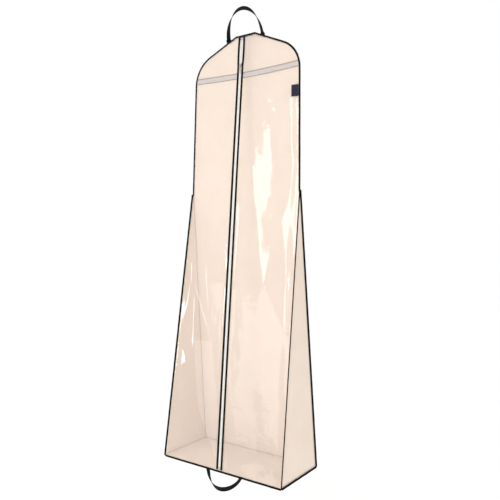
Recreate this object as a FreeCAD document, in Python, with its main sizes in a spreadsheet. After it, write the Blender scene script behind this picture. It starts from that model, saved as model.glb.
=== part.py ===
"""Long gown bag: clear front with a full-length zip, fabric back, gusseted foot, two webbing handles.

Frame: +X to the right of someone facing the front, -Y is the front, +Z up. The origin is the middle of the
hanger opening in the top edge. Heights in the sheet are measured up from the base of the bag.
"""
import FreeCAD, Part
import Sketcher
import math
import os

from FreeCAD import Placement, Rotation, Vector

DOC = FreeCAD.newDocument("GownBag")

SIZES = {
    # outline of the flat front and back, half widths from the middle line
    "base_half_width": 300.0,
    "corner_half_width": 270.5,
    "corner_height": 1747.0,
    "shoulder_radius": 130.0,
    "neck_half_width": 48.0,
    "neck_height": 1846.0,
    # foot: the gussets open from a point to the depth of the base
    "gusset_height": 1160.0,
    "base_depth": 280.0,
    # lips of the hanger opening
    "front_lip_bow": 24.0,
    "front_lip_drop": 12.0,
    "rear_lip_bow": 9.0,
    # sheet goods and bindings
    "film_thickness": 1.0,
    "film_offset": 0.5,
    "fabric_thickness": 1.0,
    "fabric_offset": 0.2,
    "binding_width": 8.0,
    "binding_thickness": 3.2,
    "edge_binding_width": 8.0,
    "panel_gap": 0.2,
    # vent band across the back
    "vent_low": 1671.0,
    "vent_high": 1693.0,
    "vent_tape_width": 5.0,
    "vent_tape_thickness": 0.7,
    "vent_tape_gap": 0.15,
    # zip
    "film_edge": 8.0,
    "tape_inner": 1.6,
    "tape_outer": 12.0,
    "tape_thickness": 0.6,
    "tape_end_gap": 5.0,
    "coil_inner": 1.3,
    "coil_width": 2.0,
    "coil_thickness": 2.2,
    "coil_end_gap": 1.0,
    "zip_binding_inner": 6.0,
    "zip_binding_width": 10.0,
    "zip_binding_thickness": 0.8,
    "zip_binding_front": 2.4,
    "stop_length": 5.0,
    "stop_width": 3.0,
    "stop_thickness": 2.6,
    "top_stop_gap": 12.0,
    "bottom_stop_gap": 9.0,
    # slider, in its own frame: X across, -Y out of the bag, Z along the zip
    "slider_height": 1710.0,
    "slider_width": 11.0,
    "slider_length": 14.0,
    "slider_plate": 1.5,
    "slider_front": 4.5,
    "slider_back": 2.3,
    "slider_lip": 1.2,
    "slider_lip_depth": 2.1,
    "post_width": 2.0,
    "post_length": 3.5,
    "bridge_width": 2.4,
    "bridge_length": 10.0,
    "bridge_rise": 4.2,
    "bridge_bar": 1.2,
    # pull tab
    "tab_width": 7.0,
    "tab_length": 33.0,
    "tab_thickness": 1.4,
    "tab_bar": 1.8,
    "tab_window_width": 3.6,
    "tab_window_length": 8.5,
    "tab_hole_width": 3.0,
    "tab_hole_length": 10.0,
    "tab_pivot_front": 5.95,
    "tab_pivot_drop": 2.0,
    # webbing handles
    "webbing_width": 25.0,
    "webbing_thickness": 1.6,
    "handle_twist_reach": 25.0,
    "top_handle_half_span": 86.0,
    "top_handle_start": 1845.5,
    "top_handle_rise": 103.5,
    "top_handle_lean": 36.5,
    "bottom_handle_half_span": 91.0,
    "bottom_handle_front": 101.0,
    "bottom_handle_start": 3.6,
    "bottom_handle_drop": 72.0,
    "bottom_handle_lean": 41.0,
    "handle_end_length": 38.0,
    # side label
    "label_width": 27.0,
    "label_height": 48.0,
    "label_thickness": 0.8,
    "label_middle": 1571.0,
}

LEFT = -1
RIGHT = 1
FRONT = -1
REAR = 1
SHOULDER_STEPS = 6
HANDLE_STEPS = 24
SLIDER_OVERLAP = 0.2

# How far each webbing loop is turned about its own length, in degrees: above its ends, at its crown, and
# the difference between its two legs. Each starts flat where it is sewn.
TOP_TWIST = {"low_twist": -64.0, "crown_twist": -153.0, "skew": -22.0}
BOTTOM_TWIST = {"low_twist": -90.0, "crown_twist": -153.0, "skew": 0.0}

PARTS = []


def make_sheet():
    """The driving dimensions, one alias per row."""
    sheet = DOC.addObject("Spreadsheet::Sheet", "Sizes")
    for row, (alias, value) in enumerate(SIZES.items(), start=1):
        sheet.set(f"A{row}", str(value))
        sheet.setAlias(f"A{row}", alias)
    row = len(SIZES) + 1
    sheet.set(f"A{row}", "=sqrt((neck_height - front_lip_drop)^2 + (base_depth / 2 - front_lip_bow)^2)")
    sheet.setAlias(f"A{row}", "zip_length")
    DOC.recompute()
    return sheet


SHEET = make_sheet()


def size(alias):
    return float(getattr(SHEET, alias))


def at(x, y, height):
    """A point of the frame from its height above the base."""
    return Vector(x, y, height - size("neck_height"))


def keep(node, label):
    """Name a finished sub-part; its label is its node."""
    node.Label = label
    PARTS.append(node)
    return node


def feature(label, shape):
    """A sub-part whose swept or lofted shape has no parametric feature of its own."""
    node = DOC.addObject("Part::Feature", label)
    node.Shape = shape
    node.Placement = Placement()
    return keep(node, label)


# ---------------------------------------------------------------- outline and curved panels

def shoulder_arc():
    """Tangent points and centre of the round shoulder, in the seam's own X and height."""
    corner = Vector(size("corner_half_width"), 0, size("corner_height"))
    foot = Vector(size("base_half_width"), 0, 0)
    neck = Vector(size("neck_half_width"), 0, size("neck_height"))
    down = (foot - corner).normalize()
    inward = (neck - corner).normalize()
    half_angle = down.getAngle(inward) / 2
    reach = size("shoulder_radius") / math.tan(half_angle)
    depth = size("shoulder_radius") / math.sin(half_angle)
    centre = corner + (down + inward).normalize() * depth
    return corner + down * reach, centre, corner + inward * reach


def half_width(height):
    """Half width of the front and back at a height of the side seam."""
    side, centre, shoulder = shoulder_arc()
    if height <= side.z:
        return size("base_half_width") + (side.x - size("base_half_width")) * height / side.z
    if height >= shoulder.z:
        share = (size("neck_height") - height) / (size("neck_height") - shoulder.z)
        return size("neck_half_width") + (shoulder.x - size("neck_half_width")) * share
    rise = height - centre.z
    return centre.x + math.sqrt(size("shoulder_radius") ** 2 - rise ** 2)


def seam_depth(height):
    """How far the long gusset edges stand from the middle plane."""
    share = max(0.0, 1 - height / size("gusset_height"))
    return size("base_depth") / 2 * share


def middle_depth(face, height):
    """How far the middle line of the front or back stands from the middle plane."""
    lip = size("front_lip_bow") if face == FRONT else size("rear_lip_bow")
    share = height / size("neck_height")
    return size("base_depth") / 2 * (1 - share) + lip * share


def middle_drop(face, height):
    """How far the middle line hangs below the side seam; only the front lip dips."""
    if face == REAR:
        return 0.0
    return size("front_lip_drop") * height / size("neck_height")


def stations(low, high):
    """Heights where the panel's section changes: ends, gusset point and shoulder steps."""
    side, centre, shoulder = shoulder_arc()
    start = math.atan2(side.z - centre.z, side.x - centre.x)
    end = math.atan2(shoulder.z - centre.z, shoulder.x - centre.x)
    heights = [size("gusset_height")]
    for step in range(SHOULDER_STEPS + 1):
        angle = start + (end - start) * step / SHOULDER_STEPS
        heights.append(centre.z + size("shoulder_radius") * math.sin(angle))
    inner = [height for height in heights if low + 1 < height < high - 1]
    return [low] + inner + [high]


def panel_section(face, height, inner_edge, side, near, far):
    """Closed section of a bowed panel: two parabolas and two short ends.

    The panel is flat as far as inner_edge from the middle line and bows from there to the side seam.
    A full-width panel has inner_edge 0 and side 0.
    """
    width = half_width(height)
    seam = seam_depth(height)
    bow = middle_depth(face, height) - seam
    drop = middle_drop(face, height)
    slant = drop / bow if bow > 0.01 else 0.0
    first = -1.0 if side == 0 else 0.0
    last = 1.0

    def point(a, b, offset):
        """Control point of the parabola between shares a and b; a share itself when they are equal."""
        share = (a + b) / 2
        fullness = 1 - a * b
        x = inner_edge + share * (width - inner_edge)
        y = seam + bow * fullness + offset
        z = height - drop * fullness - offset * slant
        return at(x if side == 0 else side * x, face * y, z)

    def parabola(offset):
        curve = Part.BezierCurve()
        curve.setPoles([point(first, first, offset), point(first, last, offset), point(last, last, offset)])
        return curve.toShape()

    inside = parabola(near)
    outside = parabola(far)
    return Part.Wire([
        inside,
        Part.makeLine(point(last, last, near), point(last, last, far)),
        outside,
        Part.makeLine(point(first, first, far), point(first, first, near)),
    ])


def panel(face, low, high, inner_edge=0.0, side=0, near=0.0, far=1.0):
    """A bowed panel of sheet goods between two heights of the side seam."""
    sections = [panel_section(face, height, inner_edge, side, near, far) for height in stations(low, high)]
    return Part.makeLoft(sections, True, True)


# ---------------------------------------------------------------- bindings

def stadium(centre, across, through, width, thickness):
    """Closed section of a folded tape: flat faces and round edges."""
    radius = thickness / 2
    reach = across * (width / 2 - radius)
    lift = through * radius
    tip = across * (width / 2)
    return Part.Wire([
        Part.makeLine(centre - reach + lift, centre + reach + lift),
        Part.Arc(centre + reach + lift, centre + tip, centre + reach - lift).toShape(),
        Part.makeLine(centre + reach - lift, centre - reach - lift),
        Part.Arc(centre - reach - lift, centre - tip, centre - reach + lift).toShape(),
    ])


def swept_binding(edges, across, through, fixed):
    """A binding along a flat path. Its section keeps the fixed direction all the way."""
    pipe = Part.BRepOffsetAPI.MakePipeShell(Part.Wire(edges))
    pipe.setBiNormalMode(fixed)
    start = edges[0].valueAt(edges[0].FirstParameter)
    pipe.add(stadium(start, across, through, size("binding_width"), size("binding_thickness")))
    pipe.build()
    pipe.makeSolid()
    return pipe.shape()


def shoulder_binding(side):
    """From the neck over the shoulder and down the side seam to the gusset's point."""
    low, centre, high = shoulder_arc()
    start_angle = math.atan2(high.z - centre.z, high.x - centre.x)
    end_angle = math.atan2(low.z - centre.z, low.x - centre.x)
    middle = (start_angle + end_angle) / 2
    radius = size("shoulder_radius")
    crown = at(side * (centre.x + radius * math.cos(middle)), 0, centre.z + radius * math.sin(middle))
    neck = at(side * size("neck_half_width"), 0, size("neck_height"))
    upper = at(side * high.x, 0, high.z)
    lower = at(side * low.x, 0, low.z)
    point = at(side * half_width(size("gusset_height")), 0, size("gusset_height"))
    edges = [
        Part.makeLine(neck, upper),
        Part.Arc(upper, crown, lower).toShape(),
        Part.makeLine(lower, point),
    ]
    through = Vector(0, 1, 0)
    across = (upper - neck).normalize().cross(through)
    return swept_binding(edges, across, through, through)


def neck_binding(face):
    """One lip of the hanger opening, bowed away from the seam."""
    width = size("neck_half_width")
    height = size("neck_height")
    bow = face * middle_depth(face, height)
    drop = middle_drop(face, height)
    left = at(-width, 0, height)
    right = at(width, 0, height)
    middle = at(0, bow, height - drop)
    plane = Vector(1, 0, 0).cross(middle - at(0, 0, height)).normalize()
    upward = plane if plane.z > 0 else -plane
    arc = Part.Arc(left, middle, right)
    tangent = arc.tangent(arc.FirstParameter)[0]
    return swept_binding([arc.toShape()], upward, upward.cross(tangent).normalize(), upward)


def straight_binding(start, end, across):
    """A binding along a straight edge."""
    along = (end - start).normalize()
    flat = (across - along * across.dot(along)).normalize()
    section = stadium(start, flat, along.cross(flat), size("edge_binding_width"), size("binding_thickness"))
    return Part.Face(section).extrude(end - start)


def edge_binding(side, face):
    """Along a gusset's long edge, from its point to the corner of the base."""
    depth = size("base_depth") / 2
    point = at(side * half_width(size("gusset_height")), 0, size("gusset_height"))
    corner = at(side * size("base_half_width"), face * depth, 0)
    return straight_binding(point, corner, Vector(side, face, 0))


def base_binding_long(face):
    """Along the front or rear edge of the base."""
    width = size("base_half_width")
    depth = face * size("base_depth") / 2
    return straight_binding(at(-width, depth, 0), at(width, depth, 0), Vector(0, face, -1))


def base_binding_short(side):
    """Along a side edge of the base."""
    width = side * size("base_half_width")
    depth = size("base_depth") / 2
    return straight_binding(at(width, -depth, 0), at(width, depth, 0), Vector(side, 0, -1))


def trimmed(shape, others):
    """The shape with the room of its neighbours taken out; only its main solid stays."""
    for other in others:
        shape = shape.cut(other)
    return max(shape.Solids, key=lambda solid: solid.Volume)


def make_bindings():
    """All bindings, each trimmed by those sewn before it. Returns their shapes by name."""
    tapes = {}
    for side, name in ((LEFT, "left"), (RIGHT, "right")):
        tapes[f"shoulder_binding_{name}"] = shoulder_binding(side)
    shoulders = list(tapes.values())
    tapes["neck_binding_front"] = trimmed(neck_binding(FRONT), shoulders)
    tapes["neck_binding_rear"] = trimmed(neck_binding(REAR), shoulders + [tapes["neck_binding_front"]])
    for side, name in ((LEFT, "left"), (RIGHT, "right")):
        shoulder = tapes[f"shoulder_binding_{name}"]
        front = trimmed(edge_binding(side, FRONT), [shoulder])
        tapes[f"front_edge_binding_{name}"] = front
        tapes[f"rear_edge_binding_{name}"] = trimmed(edge_binding(side, REAR), [shoulder, front])
    uprights = [shape for name, shape in tapes.items() if "edge" in name]
    tapes["base_binding_front"] = trimmed(base_binding_long(FRONT), uprights)
    tapes["base_binding_rear"] = trimmed(base_binding_long(REAR), uprights)
    long_edges = [tapes["base_binding_front"], tapes["base_binding_rear"]]
    for side, name in ((LEFT, "left"), (RIGHT, "right")):
        tapes[f"base_binding_{name}"] = trimmed(base_binding_short(side), uprights + long_edges)
    for name, shape in tapes.items():
        feature(name, shape)
    return tapes


# ---------------------------------------------------------------- shell

def make_front(tapes):
    """The two clear film halves, from the zip to the side seams."""
    near = size("film_offset")
    far = near + size("film_thickness")
    for side, name in ((LEFT, "left"), (RIGHT, "right")):
        film = panel(FRONT, 0, size("neck_height"), size("film_edge"), side, near, far)
        edges = [tapes[f"shoulder_binding_{name}"], tapes[f"front_edge_binding_{name}"],
                 tapes["base_binding_front"], tapes["neck_binding_front"]]
        feature(f"front_panel_{name}", trimmed(film, edges))


def make_back(tapes):
    """Lower back, vent mesh and yoke, with the two tapes that join them on the inside."""
    near = size("fabric_offset")
    far = near + size("fabric_thickness")
    low = size("vent_low")
    high = size("vent_high")
    gap = size("panel_gap")
    shoulders = [tapes["shoulder_binding_left"], tapes["shoulder_binding_right"]]
    long_edges = [shape for name, shape in tapes.items() if "edge_binding" in name]
    edges = shoulders + long_edges + [tapes["base_binding_rear"]]
    feature("back_panel", trimmed(panel(REAR, 0, low - gap, near=near, far=far), edges))
    feature("vent_mesh", trimmed(panel(REAR, low, high, near=near, far=far), shoulders))
    yoke = panel(REAR, high + gap, size("neck_height"), near=near, far=far)
    feature("back_yoke", trimmed(yoke, shoulders + [tapes["neck_binding_rear"], tapes["neck_binding_front"]]))
    tape_far = near - size("vent_tape_gap")
    tape_near = tape_far - size("vent_tape_thickness")
    reach = size("vent_tape_width") / 2
    for name, height in (("lower", low), ("upper", high)):
        tape = panel(REAR, height - reach, height + reach, near=tape_near, far=tape_far)
        feature(f"vent_tape_{name}", trimmed(tape, shoulders))


def rectangle(sketch, left, low, wide, tall):
    """A rectangle in a sketch, placed and sized by expressions."""
    first = sketch.GeometryCount
    corners = [Vector(0, 0, 0), Vector(4, 0, 0), Vector(4, 3, 0), Vector(0, 3, 0)]
    for index in range(4):
        sketch.addGeometry(Part.LineSegment(corners[index], corners[(index + 1) % 4]), False)
    for index in range(4):
        sketch.addConstraint(Sketcher.Constraint("Coincident", first + index, 2, first + (index + 1) % 4, 1))
    for index, kind in enumerate(("Horizontal", "Vertical", "Horizontal", "Vertical")):
        sketch.addConstraint(Sketcher.Constraint(kind, first + index))
    sizes = (("DistanceX", wide, (first, 1, first, 2), 4.0),
             ("DistanceY", tall, (first + 1, 1, first + 1, 2), 3.0),
             ("DistanceX", left, (-1, 1, first, 1), 0.5),
             ("DistanceY", low, (-1, 1, first, 1), 0.5))
    for kind, expression, ends, value in sizes:
        index = sketch.addConstraint(Sketcher.Constraint(kind, *ends, value))
        sketch.setExpression(f"Constraints[{index}]", expression)


def add_sketch(body, role, name):
    """A sketch on one of the body's own origin planes."""
    sketch = body.newObject("Sketcher::SketchObject", name)
    plane = next(item for item in body.Origin.OriginFeatures if item.Role == role)
    sketch.AttachmentSupport = [(plane, "")]
    sketch.MapMode = "FlatFace"
    return sketch


def make_gussets():
    """Triangular sides; each is sketched flat and stood up between its two long bindings."""
    depth = size("base_depth") / 2
    height = size("gusset_height")
    narrowing = size("base_half_width") - half_width(height)
    lean = math.atan2(narrowing, height)
    opening = math.atan2(depth, math.hypot(height, narrowing))
    angle = f"({math.degrees(opening)} deg)"
    inset = size("edge_binding_width") / 2
    for side, name in ((LEFT, "left"), (RIGHT, "right")):
        body = DOC.addObject("PartDesign::Body", f"gusset_{name}")
        sketch = add_sketch(body, "XY_Plane", f"gusset_{name}_outline")
        half_foot = depth - inset / math.cos(opening) - math.tan(opening) * inset
        tall = half_foot / math.tan(opening)
        corners = [Vector(-half_foot, 0, 0), Vector(half_foot, 0, 0), Vector(0, tall, 0)]
        for index in range(3):
            sketch.addGeometry(Part.LineSegment(corners[index], corners[(index + 1) % 3]), False)
        for index in range(3):
            sketch.addConstraint(Sketcher.Constraint("Coincident", index, 2, (index + 1) % 3, 1))
        sketch.addConstraint(Sketcher.Constraint("Horizontal", 0))
        sketch.addConstraint(Sketcher.Constraint("Symmetric", 0, 1, 0, 2, -1, 1))
        foot = sketch.addConstraint(Sketcher.Constraint("DistanceX", 0, 1, 0, 2, 2 * half_foot))
        sketch.setExpression(f"Constraints[{foot}]", "Sizes.base_depth - Sizes.edge_binding_width"
                             f" * (1 + sin{angle}) / cos{angle}")
        rise = sketch.addConstraint(Sketcher.Constraint("DistanceY", 0, 1, 2, 1, tall))
        sketch.addConstraint(Sketcher.Constraint("DistanceX", -1, 1, 2, 1, 0))
        sketch.setExpression(f"Constraints[{rise}]", f"Constraints[{foot}] / 2 / tan{angle}")
        pad = body.newObject("PartDesign::Pad", f"gusset_{name}_sheet")
        pad.Profile = sketch
        pad.setExpression("Length", "Sizes.fabric_thickness")
        pad.Midplane = True
        upright = Rotation(Vector(0, 1, 0), Vector(-side * math.sin(lean), 0, math.cos(lean)),
                           Vector(1, 0, 0), "YXZ")
        stand = at(side * size("base_half_width"), 0, 0) + upright.multVec(Vector(0, inset, 0))
        body.Placement = Placement(stand, upright)
        DOC.recompute()
        keep(body, f"gusset_{name}")


def make_base():
    """Flat rectangular bottom between the four base bindings."""
    box = DOC.addObject("Part::Box", "base_panel")
    box.setExpression("Length", "2 * Sizes.base_half_width - Sizes.edge_binding_width")
    box.setExpression("Width", "Sizes.base_depth - Sizes.edge_binding_width")
    box.setExpression("Height", "Sizes.fabric_thickness")
    inset = size("edge_binding_width") / 2
    corner = at(inset - size("base_half_width"), inset - size("base_depth") / 2, 0)
    box.Placement.Base = corner - Vector(0, 0, size("fabric_thickness") / 2)
    keep(box, "base_panel")


# ---------------------------------------------------------------- zip

def zip_ends():
    """Foot and top of the zip, on the middle line of the front."""
    foot = at(0, -size("base_depth") / 2, 0)
    top = at(0, -size("front_lip_bow"), size("neck_height") - size("front_lip_drop"))
    return foot, top


def on_zip(x, y, up):
    """Placement in the zip's own frame: Z runs up the zip from the base, -Y points out of the bag."""
    foot, top = zip_ends()
    frame = Placement(foot, Rotation(Vector(1, 0, 0), Vector(0, 0, 0), top - foot, "ZXY"))
    return frame.multiply(Placement(Vector(x, y, up), Rotation()))


def zip_box(label, sizes, corner):
    """A straight strip of the zip: sizes are expressions, the corner is in the zip's frame."""
    box = DOC.addObject("Part::Box", label)
    for name, expression in zip(("Length", "Width", "Height"), sizes):
        box.setExpression(name, expression)
    box.Placement = on_zip(*corner)
    return box


def mirrored(side, near, wide):
    """Lowest X of a strip that starts at near from the middle line on one side."""
    return near if side == RIGHT else -near - wide


def make_zip_strips():
    """Tapes, coils and the ribbons that sew them to the film."""
    half_tape = size("tape_thickness") / 2
    end = size("tape_end_gap")
    low_coil = size("bottom_stop_gap") + size("stop_length") + size("coil_end_gap")
    long = "Sizes.zip_length - 2 * Sizes.tape_end_gap"
    coil_long = ("Sizes.zip_length - Sizes.top_stop_gap - Sizes.bottom_stop_gap"
                 " - 2 * (Sizes.stop_length + Sizes.coil_end_gap)")
    strips = (
        ("zip_tape", ("Sizes.tape_outer - Sizes.tape_inner", "Sizes.tape_thickness", long),
         size("tape_inner"), size("tape_outer") - size("tape_inner"), -half_tape, end),
        ("zip_coil", ("Sizes.coil_width", "Sizes.coil_thickness", coil_long),
         size("coil_inner"), size("coil_width"), -half_tape - size("coil_thickness"), low_coil),
        ("zip_binding", ("Sizes.zip_binding_width", "Sizes.zip_binding_thickness", long),
         size("zip_binding_inner"), size("zip_binding_width"), -size("zip_binding_front"), end),
    )
    for side, side_name in ((LEFT, "left"), (RIGHT, "right")):
        for name, sizes, near, wide, depth, low in strips:
            label = f"{name}_{side_name}"
            keep(zip_box(label, sizes, (mirrored(side, near, wide), depth, low)), label)


def make_zip_stops():
    """Two clips at the top, one per tape, and one across both tapes at the foot."""
    depth = -size("tape_thickness") / 2 - size("stop_thickness")
    low = size("zip_length") - size("top_stop_gap") - size("stop_length")
    clip = ("Sizes.stop_width", "Sizes.stop_thickness", "Sizes.stop_length")
    clips = []
    for side, name in ((LEFT, "left"), (RIGHT, "right")):
        corner = (mirrored(side, size("coil_inner"), size("stop_width")), depth, low)
        clips.append(zip_box(f"top_clip_{name}", clip, corner))
    pair = DOC.addObject("Part::Compound", "zip_top_stops")
    pair.Links = clips
    keep(pair, "zip_top_stops")
    bar = ("2 * (Sizes.coil_inner + Sizes.stop_width)", "Sizes.stop_thickness", "Sizes.stop_length")
    corner = (-size("coil_inner") - size("stop_width"), depth, size("bottom_stop_gap"))
    keep(zip_box("zip_bottom_stop", bar, corner), "zip_bottom_stop")


def add_pad(body, name, plane, frame, length, offset="0", midplane=False, flip=False):
    """A padded rectangle; frame is its left, low, wide and tall expressions."""
    sketch = add_sketch(body, plane, f"{name}_sketch")
    sketch.setExpression("AttachmentOffset.Base.z", offset)
    rectangle(sketch, *frame)
    pad = body.newObject("PartDesign::Pad", name)
    pad.Profile = sketch
    pad.setExpression("Length", length)
    pad.Midplane = midplane
    pad.Reversed = flip
    return pad


def make_slider():
    """Slider body: front and back plates, the post between the coils, side lips and the bridge.

    On the XZ plane a sketch's normal is -Y, so an offset is a distance out of the bag.
    """
    body = DOC.addObject("PartDesign::Body", "zip_slider")
    plate = ("-Sizes.slider_width / 2", "-Sizes.slider_length / 2",
             "Sizes.slider_width", "Sizes.slider_length")
    add_pad(body, "front_plate", "XZ_Plane", plate, "Sizes.slider_plate",
            "Sizes.slider_front - Sizes.slider_plate")
    lip_depth = "Sizes.slider_front - Sizes.slider_plate - Sizes.slider_lip_depth"
    for name, left in (("lip_left", "-Sizes.slider_width / 2"),
                       ("lip_right", "Sizes.slider_width / 2 - Sizes.slider_lip")):
        add_pad(body, name, "XZ_Plane",
                (left, "-Sizes.slider_length / 2", "Sizes.slider_lip", "Sizes.slider_length"),
                f"Sizes.slider_lip_depth + {SLIDER_OVERLAP}", lip_depth)
    post = ("-Sizes.post_width / 2", "Sizes.slider_length / 2 - Sizes.post_length",
            "Sizes.post_width", "Sizes.post_length")
    add_pad(body, "post", "XZ_Plane", post, "Sizes.slider_front + Sizes.slider_back - Sizes.slider_plate",
            "-Sizes.slider_back")
    add_pad(body, "back_plate", "XZ_Plane", plate, "Sizes.slider_plate", "-Sizes.slider_back")
    bridge = ("-Sizes.bridge_width / 2", "-Sizes.bridge_length / 2",
              "Sizes.bridge_width", "Sizes.bridge_length")
    add_pad(body, "bridge", "XZ_Plane", bridge, f"Sizes.bridge_rise + {SLIDER_OVERLAP}",
            f"Sizes.slider_front - {SLIDER_OVERLAP}")
    DOC.recompute()
    window = add_sketch(body, "XZ_Plane", "bridge_window_sketch")
    window.setExpression("AttachmentOffset.Base.z", "Sizes.slider_front")
    rectangle(window, "-Sizes.bridge_width", "Sizes.bridge_bar - Sizes.bridge_length / 2",
              "2 * Sizes.bridge_width", "Sizes.bridge_length - 2 * Sizes.bridge_bar")
    before = body.Shape.Volume
    pocket = body.newObject("PartDesign::Pocket", "bridge_window")
    pocket.Profile = window
    pocket.setExpression("Length", "Sizes.bridge_rise - Sizes.bridge_bar")
    pocket.Reversed = True
    DOC.recompute()
    if body.Shape.Volume >= before:
        raise ValueError("the bridge window cuts nothing")
    body.Placement = on_zip(0, 0, size("slider_height"))
    keep(body, "zip_slider")


def make_pull_tab():
    """Flat tab whose top bar passes under the slider's bridge; its origin is the middle of that bar."""
    body = DOC.addObject("PartDesign::Body", "pull_tab")
    outline = ("-Sizes.tab_width / 2", "Sizes.tab_bar / 2 - Sizes.tab_length",
               "Sizes.tab_width", "Sizes.tab_length")
    add_pad(body, "tab", "XZ_Plane", outline, "Sizes.tab_thickness", midplane=True)
    windows = (
        ("bridge_eye", "-Sizes.tab_window_width / 2", "-Sizes.tab_bar / 2 - Sizes.tab_window_length",
         "Sizes.tab_window_width", "Sizes.tab_window_length"),
        ("finger_slot", "-Sizes.tab_hole_width / 2", "Sizes.tab_bar * 1.5 - Sizes.tab_length",
         "Sizes.tab_hole_width", "Sizes.tab_hole_length"),
    )
    DOC.recompute()
    for name, left, low, wide, tall in windows:
        sketch = add_sketch(body, "XZ_Plane", f"{name}_sketch")
        rectangle(sketch, left, low, wide, tall)
        pocket = body.newObject("PartDesign::Pocket", name)
        pocket.Profile = sketch
        pocket.setExpression("Length", "2 * Sizes.tab_thickness")
        pocket.Midplane = True
        before = body.Shape.Volume
        DOC.recompute()
        if body.Shape.Volume >= before:
            raise ValueError(f"{name} cuts nothing")
    body.Placement = on_zip(0, -size("tab_pivot_front"), size("slider_height") - size("tab_pivot_drop"))
    keep(body, "pull_tab")


# ---------------------------------------------------------------- handles and label

def loop_centre(loop, angle):
    """Middle of the webbing and its direction; angle runs from 0 at the left end to 180 degrees."""
    span = loop["span"]
    bend = math.sin(angle) ** loop["curl"]
    centre = at(-span * math.cos(angle), -loop["front"] - loop["lean"] * bend,
                loop["start"] + loop["rise"] * math.sin(angle))
    slope = loop["curl"] * math.sin(angle) ** (loop["curl"] - 1) * math.cos(angle)
    along = Vector(span * math.sin(angle), -loop["lean"] * slope, loop["rise"] * math.cos(angle))
    return centre, along.normalize()


def webbing_section(loop, share):
    """One rectangle of a webbing loop; share runs from 0 at the left end to 1 at the right."""
    angle = math.pi * share
    centre, along = loop_centre(loop, angle)
    back = Vector(0, 1, 0)
    back = (back - along * back.dot(along)).normalize()
    outward = along.cross(back) * math.copysign(1, loop["rise"])
    height = min(1.0, abs(loop["rise"]) * math.sin(angle) / size("handle_twist_reach"))
    eased = height * height * (3 - 2 * height)
    turn = loop["low_twist"] + (loop["crown_twist"] - loop["low_twist"]) * math.sin(angle) ** 2
    twist = math.radians(eased * (turn + loop["skew"] * math.cos(angle)))
    across = outward * math.cos(twist) + back * math.sin(twist)
    wide = across * (size("webbing_width") / 2)
    thick = along.cross(across) * (size("webbing_thickness") / 2)
    corners = [centre - wide - thick, centre + wide - thick, centre + wide + thick, centre - wide + thick]
    return Part.makePolygon(corners + corners[:1])


def webbing_loop(loop):
    """A webbing loop that turns over between its ends and its crown."""
    sections = [webbing_section(loop, step / HANDLE_STEPS) for step in range(HANDLE_STEPS + 1)]
    return Part.makeLoft(sections, True, False)


def make_handles():
    """Top loop, bottom loop and the bottom loop's two ends sewn flat under the base."""
    top = {"span": size("top_handle_half_span"), "front": 0, "start": size("top_handle_start"),
           "rise": size("top_handle_rise"), "lean": size("top_handle_lean"), "curl": 1}
    bottom = {"span": size("bottom_handle_half_span"), "front": size("bottom_handle_front"),
              "start": -size("bottom_handle_start"), "rise": -size("bottom_handle_drop"),
              "lean": size("bottom_handle_lean"), "curl": 2}
    feature("top_handle", webbing_loop({**top, **TOP_TWIST}))
    feature("bottom_handle", webbing_loop({**bottom, **BOTTOM_TWIST}))
    near = size("bottom_handle_half_span") - size("webbing_width") / 2
    front = -size("bottom_handle_front") - size("webbing_width") / 2
    under = -size("fabric_thickness") / 2 - size("webbing_thickness")
    for side, name in ((LEFT, "left"), (RIGHT, "right")):
        end = DOC.addObject("Part::Box", f"bottom_handle_end_{name}")
        end.setExpression("Length", "Sizes.handle_end_length")
        end.setExpression("Width", "Sizes.webbing_width")
        end.setExpression("Height", "Sizes.webbing_thickness")
        end.Placement.Base = at(mirrored(side, near, size("handle_end_length")), front, under)
        keep(end, f"bottom_handle_end_{name}")


def make_label():
    """Small blank label lying on the film, its outer edge against the right side binding."""
    height = size("label_middle")
    far = size("film_offset") + size("film_thickness")
    width = half_width(height)
    outer = width - size("binding_width") / 2 - size("panel_gap")
    bow = middle_depth(FRONT, height)

    def film_front(x):
        share = (x - size("film_edge")) / (width - size("film_edge"))
        return -(bow * (1 - share ** 2) + far)

    inner = outer - size("label_width")
    slope = math.degrees(math.atan2(film_front(outer) - film_front(inner), size("label_width")))
    label = DOC.addObject("Part::Box", "side_label")
    label.setExpression("Length", "Sizes.label_width")
    label.setExpression("Width", "Sizes.label_thickness")
    label.setExpression("Height", "Sizes.label_height")
    clear = size("label_thickness") + 3 * size("panel_gap")
    corner = at(inner, film_front(inner) - clear, height - size("label_height") / 2)
    label.Placement = Placement(corner, Rotation(Vector(0, 0, 1), slope))
    keep(label, "side_label")


# ---------------------------------------------------------------- build, check and write

def check(parts):
    """Stop on a failed object or an invalid shape."""
    for item in DOC.Objects:
        if {"Invalid", "Error"} & set(item.State):
            raise ValueError(f"{item.Label} failed: {item.State}")
    for node in parts:
        if node.Shape.isNull() or not node.Shape.isValid():
            raise ValueError(f"{node.Label} has no valid shape")


def write(parts):
    os.makedirs("parts", exist_ok=True)
    for node in parts:
        node.Shape.exportStep(os.path.join("parts", f"{node.Label}.step"))


def main():
    tapes = make_bindings()
    make_front(tapes)
    make_back(tapes)
    make_gussets()
    make_base()
    make_zip_strips()
    make_zip_stops()
    make_slider()
    make_pull_tab()
    make_handles()
    make_label()
    DOC.recompute()
    check(PARTS)
    write(PARTS)
    print(f"{len(PARTS)} sub-parts written")


main()
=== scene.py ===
"""Looks of the long gown bag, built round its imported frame. Metres; +Z up, -Y the clear zipped front."""

import math

import bpy
import numpy as np
from mathutils import Matrix, Vector, noise


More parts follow.
